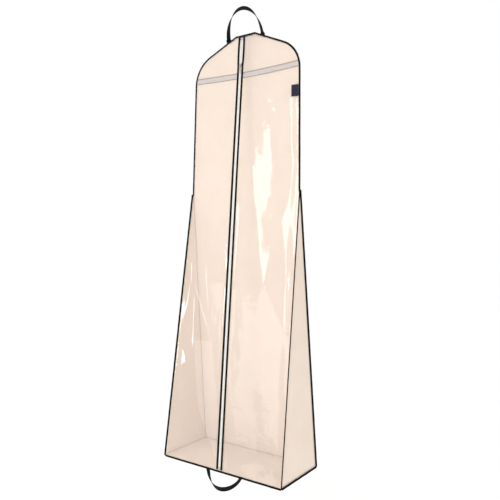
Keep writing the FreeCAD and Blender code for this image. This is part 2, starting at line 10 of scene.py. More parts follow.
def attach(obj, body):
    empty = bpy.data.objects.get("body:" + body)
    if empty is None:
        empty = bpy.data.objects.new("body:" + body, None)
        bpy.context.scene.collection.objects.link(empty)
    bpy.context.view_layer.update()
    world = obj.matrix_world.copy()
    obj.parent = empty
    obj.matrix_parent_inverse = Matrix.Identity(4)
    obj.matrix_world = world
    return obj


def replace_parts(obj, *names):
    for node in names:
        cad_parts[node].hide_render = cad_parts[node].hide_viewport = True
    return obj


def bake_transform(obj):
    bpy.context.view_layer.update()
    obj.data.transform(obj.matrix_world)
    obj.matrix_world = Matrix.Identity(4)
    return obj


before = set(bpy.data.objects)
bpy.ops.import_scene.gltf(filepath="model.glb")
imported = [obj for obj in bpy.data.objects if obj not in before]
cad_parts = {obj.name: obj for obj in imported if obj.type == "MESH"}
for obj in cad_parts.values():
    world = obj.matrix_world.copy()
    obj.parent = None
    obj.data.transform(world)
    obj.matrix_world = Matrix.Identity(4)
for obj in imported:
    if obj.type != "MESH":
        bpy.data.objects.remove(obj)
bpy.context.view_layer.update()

# ---------------------------------------------------------------- sizes shared with the design, metres

NECK_HEIGHT = 1.846
NECK_HALF_WIDTH = 0.048
CORNER = Vector((0.2705, 1.747))
BASE_HALF_WIDTH = 0.300
BASE_HALF_DEPTH = 0.140
SHOULDER_RADIUS = 0.130
GUSSET_HEIGHT = 1.160
FRONT_LIP_BOW = 0.024
FRONT_LIP_DROP = 0.012
REAR_LIP_BOW = 0.009
VENT_LOW = 1.671
VENT_HIGH = 1.693
BINDING_WIDTH = 0.0090
BINDING_THICKNESS = 0.0034
EDGE_BINDING_WIDTH = 0.0080
FILM_OFFSET = 0.0010
FABRIC_OFFSET = 0.0007
FABRIC_THICKNESS = 0.0008
FILM_EDGE = 0.0080
HEM = 0.0035
SLIDER_HEIGHT = 1.710
PARTING_WIDTH = 0.0022
WEBBING_WIDTH = 0.025
WEBBING_THICKNESS = 0.0016

LEFT = -1
RIGHT = 1
FRONT = -1
REAR = 1
SIDES = ((LEFT, "left"), (RIGHT, "right"))
FACES = ((FRONT, "front"), (REAR, "rear"))


def at(x, y, height):
    """A point of the frame from its height above the base."""
    return Vector((x, y, height - NECK_HEIGHT))


def smooth(share):
    """Ease from 0 to 1 with level ends."""
    share = min(1.0, max(0.0, share))
    return share * share * (3 - 2 * share)


def shoulder_arc():
    """Lower tangent point, centre and upper tangent point of the round shoulder, as (x, height)."""
    down = (Vector((BASE_HALF_WIDTH, 0.0)) - CORNER).normalized()
    inward = (Vector((NECK_HALF_WIDTH, NECK_HEIGHT)) - CORNER).normalized()
    half_angle = math.acos(down.dot(inward)) / 2
    reach = SHOULDER_RADIUS / math.tan(half_angle)
    depth = SHOULDER_RADIUS / math.sin(half_angle)
    centre = CORNER + (down + inward).normalized() * depth
    return CORNER + down * reach, centre, CORNER + inward * reach


ARC_LOW, ARC_CENTRE, ARC_HIGH = shoulder_arc()


def half_width(height):
    """Half width of the front and back at a height of the side seam."""
    if height <= ARC_LOW.y:
        return BASE_HALF_WIDTH + (ARC_LOW.x - BASE_HALF_WIDTH) * height / ARC_LOW.y
    if height >= ARC_HIGH.y:
        share = (NECK_HEIGHT - height) / (NECK_HEIGHT - ARC_HIGH.y)
        return NECK_HALF_WIDTH + (ARC_HIGH.x - NECK_HALF_WIDTH) * share
    return ARC_CENTRE.x + math.sqrt(max(0.0, SHOULDER_RADIUS ** 2 - (height - ARC_CENTRE.y) ** 2))


def seam_depth(height):
    """How far the long gusset edges stand from the middle plane."""
    return BASE_HALF_DEPTH * max(0.0, 1 - height / GUSSET_HEIGHT)


def middle_depth(face, height):
    """How far the middle line of the front or back stands from the middle plane."""
    lip = FRONT_LIP_BOW if face == FRONT else REAR_LIP_BOW
    share = height / NECK_HEIGHT
    return BASE_HALF_DEPTH * (1 - share) + lip * share


def middle_drop(face, height):
    """How far the middle line hangs below the side seam; only the front lip dips."""
    return FRONT_LIP_DROP * height / NECK_HEIGHT if face == FRONT else 0.0


ZIP_FOOT = at(0, -BASE_HALF_DEPTH, 0)
ZIP_TOP = at(0, -FRONT_LIP_BOW, NECK_HEIGHT - FRONT_LIP_DROP)
ZIP_LENGTH = (ZIP_TOP - ZIP_FOOT).length
ZIP_UP = (ZIP_TOP - ZIP_FOOT).normalized()
ZIP_IN = ZIP_UP.cross(Vector((1, 0, 0)))


def on_zip(x, inward, up):
    """A point of the zip's own frame: across, into the bag, and up from the foot of the zip."""
    return ZIP_FOOT + Vector((x, 0, 0)) + ZIP_IN * inward + ZIP_UP * up


def zip_parting(up):
    """How far each half of the zip stands aside: shut below the slider, a little open above it."""
    above = up - SLIDER_HEIGHT
    span = ZIP_LENGTH - SLIDER_HEIGHT
    if above <= 0:
        return 0.0
    return PARTING_WIDTH * math.sin(math.pi * min(1.0, above / span)) ** 0.6


# ---------------------------------------------------------------- materials

def new_material(name):
    """A material with nodes, so far only the Principled shader."""
    material = bpy.data.materials.new(name)
    material.use_nodes = True
    return material


def fill(material, node, **values):
    """Give sockets of a node their values. An output of another node is linked, anything else is set."""
    for key, value in values.items():
        socket = node.inputs[key.replace("_", " ")]
        if isinstance(value, bpy.types.NodeSocket):
            material.node_tree.links.new(value, socket)
        else:
            socket.default_value = value
    return node


def shader(material, **values):
    """Fill sockets of the material's Principled shader."""
    fill(material, material.node_tree.nodes["Principled BSDF"], **values)
    return material


def add_node(material, kind, **values):
    """A new node of this kind with its sockets filled."""
    return fill(material, material.node_tree.nodes.new(kind), **values)


def coordinates(material, kind="Object"):
    """Texture coordinates: the piece's own place in metres, or its UVs."""
    return add_node(material, "ShaderNodeTexCoord").outputs[kind]


def noise_texture(material, vector, scale, detail=3.0, roughness=0.55, distortion=0.0):
    """Cloudy noise from 0 to 1; scale is about the number of clouds in a metre."""
    node = add_node(material, "ShaderNodeTexNoise", Vector=vector, Scale=scale, Detail=detail,
                    Roughness=roughness, Distortion=distortion)
    return node.outputs["Fac"]


def wave_texture(material, vector, period, direction="X", distortion=0.0):
    """Bands with a period in the coordinates' own units."""
    node = add_node(material, "ShaderNodeTexWave", Vector=vector, Scale=2 * math.pi / 20 / period,
                    Distortion=distortion)
    node.wave_type = "BANDS"
    node.bands_direction = direction
    return node.outputs["Fac"]


def combine(material, operation, first, second):
    """A sum, product or power of an output and another output or number."""
    node = add_node(material, "ShaderNodeMath")
    node.operation = operation
    for socket, value in zip(node.inputs, (first, second)):
        if isinstance(value, (int, float)):
            socket.default_value = value
        else:
            material.node_tree.links.new(value, socket)
    return node.outputs[0]


def mixed(material, first, second, weight):
    """Two 0 to 1 patterns added, the first with this weight and the second with the rest."""
    return combine(material, "ADD", combine(material, "MULTIPLY", first, weight),
                   combine(material, "MULTIPLY", second, 1 - weight))


def blended(material, factor, first, second):
    """A mix of two shaders."""
    node = add_node(material, "ShaderNodeMixShader")
    for socket, value in zip(node.inputs, (factor, first, second)):
        material.node_tree.links.new(value, socket)
    return node.outputs[0]


def ramp(material, factor, dark, light, low=0.3, high=0.7):
    """Colours from dark to light as a factor runs from low to high."""
    node = add_node(material, "ShaderNodeValToRGB", Fac=factor)
    for element, place, colour in zip(node.color_ramp.elements, (low, high), (dark, light)):
        element.position = place
        element.color = (*colour, 1)
    return node.outputs["Color"]


def spread(material, factor, low, high):
    """Map a 0 to 1 factor to the range low to high."""
    return add_node(material, "ShaderNodeMapRange", Value=factor, To_Min=low, To_Max=high).outputs["Result"]


def bump(material, height, distance, strength=1.0, **normal):
    """Small relief in metres; Normal may hand in the relief that lies under it."""
    node = add_node(material, "ShaderNodeBump", Height=height, Distance=distance, Strength=strength, **normal)
    return node.outputs["Normal"]


def turned(material, vector, degrees):
    """Coordinates turned about Y, for patterns that run across the panels."""
    turn = (0, math.radians(degrees), 0)
    return add_node(material, "ShaderNodeMapping", Vector=vector, Rotation=turn).outputs["Vector"]


DOT_SPACING = 0.0024
RIB_SPACING = 0.0019
YARN_SPACING = 0.0009


def ivory_fabric():
    """Non-woven fabric: pressed dots, cloudy fibres and soft creases."""
    material = new_material("ivory_fabric")
    place = coordinates(material)
    fibres = noise_texture(material, place, 240, 5, 0.7)
    clouds = noise_texture(material, place, 9, 3)
    colour = ramp(material, mixed(material, fibres, clouds, 0.45), (0.785, 0.655, 0.55), (0.85, 0.725, 0.615))
    rising = wave_texture(material, turned(material, place, 45), DOT_SPACING)
    falling = wave_texture(material, turned(material, place, -45), DOT_SPACING)
    pressed = bump(material, combine(material, "MULTIPLY", rising, falling), 0.00012, 0.5)
    crumple = bump(material, noise_texture(material, place, 14, 4, 0.6, 0.6), 0.004, 0.35, Normal=pressed)
    return shader(material, Base_Color=colour, Roughness=spread(material, fibres, 0.75, 0.95), Normal=crumple,
                  Sheen_Weight=0.1, Sheen_Roughness=0.5)


def clear_film():
    """Soft vinyl: clear, faintly milky, glossy, with fine ripples that break up its highlights."""
    material = new_material("clear_film")
    nodes = material.node_tree.nodes
    nodes.remove(nodes["Principled BSDF"])
    ripples = noise_texture(material, coordinates(material), 22, 3, 0.5, 0.4)
    fine = bump(material, ripples, 0.0025, 0.45)
    clear = add_node(material, "ShaderNodeBsdfTransparent", Color=(0.985, 0.975, 0.965, 1))
    milk = add_node(material, "ShaderNodeBsdfDiffuse", Color=(0.95, 0.87, 0.81, 1))
    gloss = add_node(material, "ShaderNodeBsdfGlossy", Color=(1, 1, 1, 1), Roughness=0.07, Normal=fine)
    facing = add_node(material, "ShaderNodeLayerWeight", Blend=0.5, Normal=fine).outputs["Facing"]
    mirror = spread(material, combine(material, "POWER", facing, 5.0), 0.07, 0.9)
    haze = blended(material, spread(material, ripples, 0.18, 0.28), clear.outputs[0], milk.outputs[0])
    coat = blended(material, mirror, haze, gloss.outputs[0])
    fill(material, nodes["Material Output"], Surface=coat)
    return material


def woven(name, dark, light, pitch, roughness=0.8, sheen=0.3, depth=0.00018, gloss=0.2):
    """Plain weave on a tape whose UV runs along and across it in metres."""
    material = new_material(name)
    place = coordinates(material, "UV")
    along = wave_texture(material, place, pitch, "X")
    across = wave_texture(material, place, pitch * 1.3, "Y")
    weave = combine(material, "MULTIPLY", along, across)
    fuzz = noise_texture(material, coordinates(material), 900, 2)
    colour = ramp(material, mixed(material, weave, fuzz, 0.7), dark, light, 0.15, 0.75)
    return shader(material, Base_Color=colour, Normal=bump(material, weave, depth),
                  Roughness=spread(material, fuzz, roughness - 0.1, roughness + 0.1), Sheen_Weight=sheen,
                  Sheen_Roughness=0.4, Specular_IOR_Level=gloss)


def webbing_material():
    """Ribbed webbing: thick ribs across, fine yarns along, soft shine on the ribs."""
    material = new_material("webbing")
    place = coordinates(material, "UV")
    ribs = wave_texture(material, place, RIB_SPACING, "X", 0.4)
    yarns = wave_texture(material, place, YARN_SPACING, "Y")
    fuzz = noise_texture(material, coordinates(material), 700, 2)
    pattern = mixed(material, ribs, yarns, 0.7)
    tone = combine(material, "MULTIPLY", pattern, spread(material, fuzz, 0.6, 1.0))
    colour = ramp(material, tone, (0.002, 0.002, 0.0022), (0.010, 0.010, 0.011), 0.1, 0.9)
    return shader(material, Base_Color=colour, Normal=bump(material, pattern, 0.00035),
                  Roughness=spread(material, fuzz, 0.45, 0.7), Specular_IOR_Level=0.05)


def thread_material(name, colour):
    """Spun sewing thread with a soft shine."""
    material = new_material(name)
    plies = noise_texture(material, coordinates(material), 1500, 2)
    light = tuple(min(1.0, part * 1.5 + 0.004) for part in colour)
    return shader(material, Base_Color=ramp(material, plies, colour, light), Sheen_Weight=0.2,
                  Roughness=spread(material, plies, 0.35, 0.65), Normal=bump(material, plies, 0.00008))


def nylon():
    """Zip coil: white nylon with a slight gloss."""
    material = new_material("zip_coil")
    marks = noise_texture(material, coordinates(material), 500, 2)
    colour = ramp(material, marks, (0.93, 0.92, 0.89), (0.98, 0.97, 0.95))
    return shader(material, Base_Color=colour, Roughness=spread(material, marks, 0.28, 0.5), Coat_Weight=0.1)


def zip_metal():
    """Nickel-plated die casting, worn a little brighter and smoother in patches."""
    material = new_material("zip_metal")
    place = coordinates(material)
    wear = noise_texture(material, place, 260, 4, 0.6)
    grain = noise_texture(material, place, 1800, 2)
    colour = ramp(material, wear, (0.44, 0.41, 0.39), (0.68, 0.65, 0.62), 0.35, 0.65)
    return shader(material, Base_Color=colour, Roughness=spread(material, wear, 0.42, 0.24), Metallic=1.0,
                  Normal=bump(material, grain, 0.00004))


def vent_yarn():
    """Grey-brown knitted yarn of the vent mesh."""
    material = new_material("vent_mesh")
    yarn = noise_texture(material, coordinates(material), 1200, 3)
    colour = ramp(material, yarn, (0.26, 0.17, 0.12), (0.40, 0.29, 0.22))
    return shader(material, Base_Color=colour, Roughness=0.8, Normal=bump(material, yarn, 0.0001),
                  Sheen_Weight=0.3)


MATERIALS = {
    "ivory_fabric": ivory_fabric(),
    "clear_film": clear_film(),
    "black_binding": woven("black_binding", (0.002, 0.0018, 0.0018), (0.012, 0.010, 0.009), 0.0009, 0.8, 0.0,
                           gloss=0.08),
    "webbing": webbing_material(),
    "zip_tape": woven("zip_tape", (0.93, 0.92, 0.89), (0.99, 0.98, 0.96), 0.0007, 0.75, 0.15, 0.00008),
    "vent_tape": woven("vent_tape", (0.22, 0.15, 0.12), (0.34, 0.26, 0.21), 0.0008),
    "label": woven("label", (0.010, 0.008, 0.022), (0.040, 0.034, 0.075), 0.0005, 0.45, 0.2, 0.00008),
    # The seam allowances are cut from the ivory fabric but coloured darker tan: painted shade along the
    # inside corners.
    "shaded_seam_allowance": woven("shaded_seam_allowance", (0.58, 0.43, 0.25), (0.72, 0.56, 0.38), 0.0010),
    "black_thread": thread_material("black_thread", (0.012, 0.011, 0.011)),
    "grey_thread": thread_material("grey_thread", (0.22, 0.19, 0.17)),
    "zip_coil": nylon(),
    "zip_metal": zip_metal(),
    "vent_mesh": vent_yarn(),
}


# ---------------------------------------------------------------- mesh helpers

def add_piece(name, shape, material, body="root"):
    """A mesh piece from (vertices, faces, uvs). It rides on a body unless body is None."""
    vertices, faces, uvs = shape
    mesh = bpy.data.meshes.new(name)
    mesh.from_pydata([tuple(vertex) for vertex in vertices], [], faces)
    layer = mesh.uv_layers.new(name="UVMap")
    corners = np.zeros(len(mesh.loops), dtype=np.int32)
    mesh.loops.foreach_get("vertex_index", corners)
    layer.data.foreach_set("uv", np.array(uvs, dtype=np.float32)[corners].ravel())
    mesh.polygons.foreach_set("use_smooth", [True] * len(mesh.polygons))
    mesh.materials.append(MATERIALS[material])
    mesh.update()
    piece = bpy.data.objects.new(name, mesh)
    bpy.context.collection.objects.link(piece)
    if body:
        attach(piece, body)
    return piece


def grid(columns, rows, point, u="x", v="z"):
    """Vertices, faces and UVs of an open sheet; point(i, j) gives each vertex, u and v its UV's axes."""
    vertices = [point(i, j) for j in range(rows + 1) for i in range(columns + 1)]
    wide = columns + 1
    faces = [(j * wide + i, j * wide + i + 1, (j + 1) * wide + i + 1, (j + 1) * wide + i)
             for j in range(rows) for i in range(columns)]
    return vertices, faces, [(getattr(vertex, u), getattr(vertex, v)) for vertex in vertices]


def swept(frames, section):
    """A closed tape of the given section along frames of (centre, across, through).

    section is a loop of (across, through) offsets. UVs run in metres along and round the tape.
    """
    around = [0.0]
    for first, second in zip(section, section[1:]):
        around.append(around[-1] + math.dist(first, second))
    vertices = []
    uvs = []
    travelled = 0.0
    for index, (centre, across, through) in enumerate(frames):
        if index:
            travelled += (centre - frames[index - 1][0]).length
        for (wide, thick), turn in zip(section, around):
            vertices.append(centre + across * wide + through * thick)
            uvs.append((travelled, turn))
    count = len(section)
    last = (len(frames) - 1) * count
    faces = [tuple(range(count)), tuple(range(last + count - 1, last - 1, -1))]
    for ring in range(len(frames) - 1):
        for k in range(count):
            a = ring * count + k
            b = ring * count + (k + 1) % count
            faces.append((a, a + count, b + count, b))
    return vertices, faces, uvs


def tape_section(width, thickness, crown=0.0, corner_steps=4):
    """A flat tape's section with round edges; crown swells its two faces a little."""
    radius = thickness / 2
    straight = width / 2 - radius
    section = []
    for side in (1, -1):
        for step in range(corner_steps + 1):
            angle = side * math.pi / 2 - side * math.pi / 2 + math.pi * (step / corner_steps - 0.5)
            section.append((side * (straight + radius * math.cos(angle)), side * radius * math.sin(angle)))
        section.append((side * straight / 2, side * (radius + crown * 0.75)))
        section.append((0.0, side * (radius + crown)))
        section.append((-side * straight / 2, side * (radius + crown * 0.75)))
    return section


def joined(shapes):
    """One (vertices, faces, uvs) from several."""
    vertices = []
    faces = []
    uvs = []
    for more_vertices, more_faces, more_uvs in shapes:
        start = len(vertices)
        vertices.extend(more_vertices)
        faces.extend(tuple(start + index for index in face) for face in more_faces)
        uvs.extend(more_uvs)
    return vertices, faces, uvs


STITCH_LENGTH = 0.0031
STITCH_GAP = 0.0011
THREAD_RADIUS = 0.00028


def ring_faces(ring, sides):
    """Faces between a ring of vertices, which starts at this index, and the next ring."""
    pairs = [(ring + k, ring + (k + 1) % sides) for k in range(sides)]
    return [(a, b, b + sides, a + sides) for a, b in pairs]


def stitch(places, offset, lift, face):
    """One stitch: a short arched thread of four sides, its ends sunk in the tape."""
    vertices = []
    for index, (centre, across, through) in enumerate(places):
        raised = lift + (0.5 if index == 1 else -0.7) * THREAD_RADIUS
        middle = centre + across * offset + through * face * raised
        for wide, thick in ((1, 0), (0, 1), (-1, 0), (0, -1)):
            vertices.append(middle + (across * wide + through * face * thick) * THREAD_RADIUS)
    faces = [(3, 2, 1, 0), (8, 9, 10, 11)] + ring_faces(0, 4) + ring_faces(4, 4)
    return vertices, faces, [(0.0, 0.0)] * len(vertices)


def stitch_row(frames, offset, lift, tape_faces=(1, -1)):
    """A row of sewn stitches along a tape, at an offset across it, on one or both of its faces."""
    lengths = [0.0]
    for first, second in zip(frames, frames[1:]):
        lengths.append(lengths[-1] + (second[0] - first[0]).length)
    shapes = []
    for mark in np.arange(STITCH_GAP, lengths[-1] - STITCH_LENGTH, STITCH_LENGTH + STITCH_GAP):
        places = []
        for place in (mark, mark + STITCH_LENGTH / 2, mark + STITCH_LENGTH):
            index = min(int(np.searchsorted(lengths, place, side="right")) - 1, len(frames) - 2)
            share = (place - lengths[index]) / (lengths[index + 1] - lengths[index])
            centre = frames[index][0].lerp(frames[index + 1][0], share)
            places.append((centre, frames[index][1], frames[index][2]))
        shapes.extend(stitch(places, offset, lift, face) for face in tape_faces)
    return joined(shapes)


def spaced(start, end, step):
    """Points from start to end about a step apart."""
    count = max(1, round((end - start).length / step))
    return [start.lerp(end, index / count) for index in range(count + 1)]


def path_frames(points, outward):
    """Frames along a path. outward(along) is the direction across the tape at a point of that heading."""
    frames = []
    for index, point in enumerate(points):
        before = points[max(0, index - 1)]
        after = points[min(len(points) - 1, index + 1)]
        along = (after - before).normalized()
        across = outward(along)
        across = (across - along * across.dot(along)).normalized()
        frames.append((point, across, across.cross(along)))
    return frames


def thicken(piece, thickness):
    """Give a sheet its real thickness, evenly on both sides."""
    modifier = piece.modifiers.new("thickness", "SOLIDIFY")
    modifier.thickness = thickness
    modifier.offset = 0.0


# ---------------------------------------------------------------- bowed panels

CREASE_WIDTH = 0.095
CREASE_LENGTH = 0.26
CREASE_LEAN = 0.16

# Which face a hanging panel is on, and how far outside the seams' surface it lies.
PANELS = {"film": (FRONT, FILM_OFFSET), "back": (REAR, FABRIC_OFFSET)}

# Depth of the soft folds and of the creased facets in each kind of sheet.
RELIEF = {"film": (0.010, 0.011), "back": (0.010, 0.006), "gusset": (0.006, 0.003), "base": (0.002, 0.0012)}

FILM_SEED = 4.3
FILM_CREASES = {"left": 39.3, "right": 77.8}
BACK_SEED = 11.0
GUSSET_SEED = 2.0
BASE_SEED = 5.0
PLAIN_CREASES = 2.5

# How far from its edges a sheet's relief comes up to its full depth.
SEAM_MARGIN = 0.045
FOOT_MARGIN = 0.06
TOP_MARGIN = 0.05
ZIP_MARGIN = 0.030
VENT_MARGIN = 0.05
SIDE_MARGIN = 0.03
BASE_MARGIN = 0.05


def creases(x, height, seed):
    """Flat triangles that meet in straight creases, long in the direction the sheet hangs."""
    across = (x + CREASE_LEAN * height) / CREASE_WIDTH
    up = height / CREASE_LENGTH
    column = math.floor(across)
    row = math.floor(up)
    right = across - column
    above = up - row

    def corner(i, j):
        return noise.cell(Vector((column + i + 0.5, row + j + 0.5, seed))) - 0.5

    if (column + row) % 2:
        right = 1 - right
        near, far = (1, 0)
    else:
        near, far = (0, 1)
    if right > above:
        third = corner(far, 0)
        return corner(near, 0) + (third - corner(near, 0)) * right + (corner(far, 1) - third) * above
    third = corner(near, 1)
    return corner(near, 0) + (corner(far, 1) - third) * right + (third - corner(near, 0)) * above


def relief(kind, x, height, seed, crease_seed=PLAIN_CREASES):
    """Soft folds that hang from the shoulders, with creased facets over them."""
    folds, facets = RELIEF[kind]
    broad = noise.noise(Vector((x * 4.5 + seed, height * 0.8, seed * 1.7)))
    leaning = noise.noise(Vector((x * 9.0 + height * 2.2, height * 2.0 + seed, 3.1 + seed)))
    small = noise.noise(Vector((x * 24.0, height * 10.0 + seed, 7.7)))
    soft = folds * (0.62 * broad + 0.28 * leaning + 0.10 * small)
    return soft + facets * creases(x, height, crease_seed)


def fullness(x, height):
    """How far out of the seams' plane a panel bows: 1 at its middle, 0 at its side seams."""
    return max(0.0, 1 - (x / (half_width(height) - HEM)) ** 2)


def panel_point(kind, share, height, side, inner_edge, seed, crease_seed):
    """A point of a bowed panel.

    share runs from the zip (0) to the side seam (1), or right across from -1 to 1 where side is 0.
    """
    face, offset = PANELS[kind]
    width = half_width(height)
    seam = seam_depth(height)
    bow = middle_depth(face, height) - seam
    x = side * (inner_edge + share * (width - inner_edge)) if side else share * width
    full = fullness(x, height)
    margin = smooth((1 - abs(share)) * width / SEAM_MARGIN) * smooth(height / FOOT_MARGIN)
    margin *= smooth((NECK_HEIGHT - height) / TOP_MARGIN)
    if side:
        margin *= smooth((share * width + 0.004) / ZIP_MARGIN)
    else:
        margin *= smooth(max(VENT_LOW - height, height - VENT_HIGH) / VENT_MARGIN)
    lift = relief(kind, x, height, seed, crease_seed) * margin
    return at(x, face * (seam + bow * full + offset + lift), height - middle_drop(face, height) * full)


def panel_rows(low, high, step):
    """Heights for a panel's rows: even steps, finer above the round of the shoulder."""
    rows = [low]
    while rows[-1] < high - 1e-6:
        fine = step if rows[-1] < ARC_LOW.y - step else step / 2.5
        rows.append(min(high, rows[-1] + fine))
    return rows


def front_film(side, name):
    """One clear half of the front, from under the zip's ribbon to the side seam."""
    rows = panel_rows(0.001, NECK_HEIGHT - 0.001, 0.0075)
    columns = 56

    def point(i, j):
        edge = FILM_EDGE + zip_parting(rows[j])
        share = i / columns if side == RIGHT else 1 - i / columns
        return panel_point("film", share, rows[j], side, edge, FILM_SEED + side, FILM_CREASES[name])

    film = add_piece(f"front_film_{name}", grid(columns, len(rows) - 1, point), "clear_film")
    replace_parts(film, f"front_panel_{name}")


def back_sheet(name, node, low, high):
    """A piece of the fabric back."""
    rows = panel_rows(low, high, 0.010)
    columns = 72

    def point(i, j):
        share = -1 + 2 * i / columns
        return panel_point("back", share, rows[j], 0, 0.0, BACK_SEED, BACK_SEED)

    sheet = add_piece(name, grid(columns, len(rows) - 1, point), "ivory_fabric")
    thicken(sheet, FABRIC_THICKNESS)
    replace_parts(sheet, node)


GUSSET_BELLY = 0.004


def gusset_sheet(side, name):
    """Triangular side sheet that bellies out a little between its two long seams."""
    rows = 110
    columns = 24

    def point(i, j):
        height = GUSSET_HEIGHT * j / rows
        share = -1 + 2 * i / columns
        depth = seam_depth(height)
        belly = GUSSET_BELLY * (1 - share * share) * math.sin(math.pi * j / rows)
        crease = relief("gusset", share * depth + 4.0 * side, height, GUSSET_SEED + side)
        margin = smooth((1 - abs(share)) * depth / SIDE_MARGIN) * smooth(height / BASE_MARGIN)
        return at(side * (half_width(height) + belly + crease * margin), share * depth, height)

    sheet = add_piece(f"gusset_sheet_{name}", grid(columns, rows, point, u="y"), "ivory_fabric")
    thicken(sheet, FABRIC_THICKNESS)
    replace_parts(sheet, f"gusset_{name}")


def base_sheet():
    """Flat bottom, slightly puckered at its seams."""
    columns = 60
    rows = 28

    def point(i, j):
        across = -1 + 2 * i / columns
        deep = -1 + 2 * j / rows
        crease = relief("base", across * BASE_HALF_WIDTH, deep * BASE_HALF_DEPTH * 3, BASE_SEED)
        margin = smooth((1 - abs(across)) * BASE_HALF_WIDTH / SIDE_MARGIN)
        margin *= smooth((1 - abs(deep)) * BASE_HALF_DEPTH / BASE_MARGIN)
        return at(across * BASE_HALF_WIDTH, deep * BASE_HALF_DEPTH, crease * margin)

    sheet = add_piece("base_sheet", grid(columns, rows, point, v="y"), "ivory_fabric")
    thicken(sheet, FABRIC_THICKNESS)
    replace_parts(sheet, "base_panel")


# ---------------------------------------------------------------- bindings

SEAM_STITCHES = []
FIN_LIFT = EDGE_BINDING_WIDTH / 2 + 0.0004
INNER_SEAM_WIDTH = 0.0030
INNER_SEAM_THICKNESS = 0.0008
INNER_SEAM_LIFT = 0.0014
STITCH_LIFT = 0.0001
STITCH_INSET = 0.28
BINDING_CROWN = 0.00015
BINDING_WAVER = 0.0004
NECK_STEPS = 16
BASE_FIN_SLANT = 0.35
EDGE_OVERRUN = 0.006
CORNER_OVERRUN = 0.002


def bind(name, node, points, outward, width):
    """A folded binding tape along a seam, with a sewn row near its inner edge."""
    frames = path_frames(points, outward)
    frames = [(centre + across * BINDING_WAVER * noise.noise(centre * 45), across, through)
              for centre, across, through in frames]
    section = tape_section(width, BINDING_THICKNESS, BINDING_CROWN)
    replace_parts(add_piece(name, swept(frames, section), "black_binding"), node)
    SEAM_STITCHES.append(stitch_row(frames, -width * STITCH_INSET, BINDING_THICKNESS / 2 + STITCH_LIFT))


def shoulder_points(side):
    """Seam line from the neck over the shoulder to the gusset's point."""
    neck = Vector((NECK_HALF_WIDTH, NECK_HEIGHT))
    start = ARC_HIGH - ARC_CENTRE
    end = ARC_LOW - ARC_CENTRE
    first = math.atan2(start.y, start.x)
    last = math.atan2(end.y, end.x)
    foot = Vector((half_width(GUSSET_HEIGHT), GUSSET_HEIGHT))
    plan = [neck.lerp(ARC_HIGH, step / 20) for step in range(20)]
    for step in range(21):
        angle = first + (last - first) * step / 20
        plan.append(ARC_CENTRE + Vector((math.cos(angle), math.sin(angle))) * SHOULDER_RADIUS)
    plan += [ARC_LOW.lerp(foot, step / 60) for step in range(1, 61)]
    return [at(side * place.x, 0, place.y) for place in plan]


def shoulder_tape(side, name):
    """From the neck over the shoulder to the gusset's point, front and back sewn together."""
    bind(f"shoulder_tape_{name}", f"shoulder_binding_{name}", shoulder_points(side),
         lambda along: Vector((0, side, 0)).cross(along), BINDING_WIDTH)


def neck_tape(face, name):
    """One lip of the hanger opening: an arc through its two ends and its bowed middle."""
    bow = face * middle_depth(face, NECK_HEIGHT)
    drop = middle_drop(face, NECK_HEIGHT)
    sink = Vector((0, bow, -drop))
    rise = sink.length
    radius = (NECK_HALF_WIDTH ** 2 + rise ** 2) / (2 * rise)
    half_angle = math.asin(NECK_HALF_WIDTH / radius)
    toward = sink.normalized()
    points = []
    for step in range(2 * NECK_STEPS + 1):
        angle = half_angle * (step / NECK_STEPS - 1)
        depth = radius * math.cos(angle) - (radius - rise)
        points.append(Vector((radius * math.sin(angle), 0, 0)) + toward * depth)
    upward = Vector((1, 0, 0)).cross(toward)
    if upward.z < 0:
        upward = -upward
    bind(f"neck_tape_{name}", f"neck_binding_{name}", points, lambda along: upward, BINDING_WIDTH)


def edge_tape(side, side_name, face, face_name):
    """Along a gusset's long edge, from its point to the corner of the base."""
    outward = Vector((side, face, 0))
    top = GUSSET_HEIGHT + EDGE_OVERRUN
    point = at(side * half_width(top), 0, top)
    corner = at(side * BASE_HALF_WIDTH, face * BASE_HALF_DEPTH, -CORNER_OVERRUN)
    lift = outward.normalized() * FIN_LIFT
    points = [place + lift for place in spaced(point, corner, 0.012)]
    bind(f"edge_tape_{face_name}_{side_name}", f"{face_name}_edge_binding_{side_name}", points,
         lambda along: outward, EDGE_BINDING_WIDTH)


def base_tape(name, start, end, outward):
    """Along one edge of the base."""
    lift = outward.normalized() * FIN_LIFT
    points = [place + lift for place in spaced(start, end, 0.010)]
    bind(f"base_tape_{name}", f"base_binding_{name}", points, lambda along: outward, EDGE_BINDING_WIDTH)


def inner_seams():
    """Folded seam allowances that cover the corners on the inside, coloured a darker tan than the fabric as
    painted shade along those corners.
    """
    lines = []
    for face in (FRONT, REAR):
        depth = face * BASE_HALF_DEPTH
        lines.append((at(-BASE_HALF_WIDTH, depth, 0), at(BASE_HALF_WIDTH, depth, 0), Vector((0, -face, 1))))
    for side, _ in SIDES:
        x = side * BASE_HALF_WIDTH
        lines.append((at(x, -BASE_HALF_DEPTH, 0), at(x, BASE_HALF_DEPTH, 0), Vector((-side, 0, 1))))
        point = at(side * half_width(GUSSET_HEIGHT), 0, GUSSET_HEIGHT)
        lines.append((point, at(x, BASE_HALF_DEPTH, 0), Vector((-side, -1, 0))))
    shapes = []
    for start, end, inward in lines:
        lift = inward.normalized() * INNER_SEAM_LIFT
        points = [place + lift for place in spaced(start, end, 0.012)]
        frames = path_frames(points, inward.cross)
        shapes.append(swept(frames, tape_section(INNER_SEAM_WIDTH, INNER_SEAM_THICKNESS)))
    add_piece("inner_seams", joined(shapes), "shaded_seam_allowance")


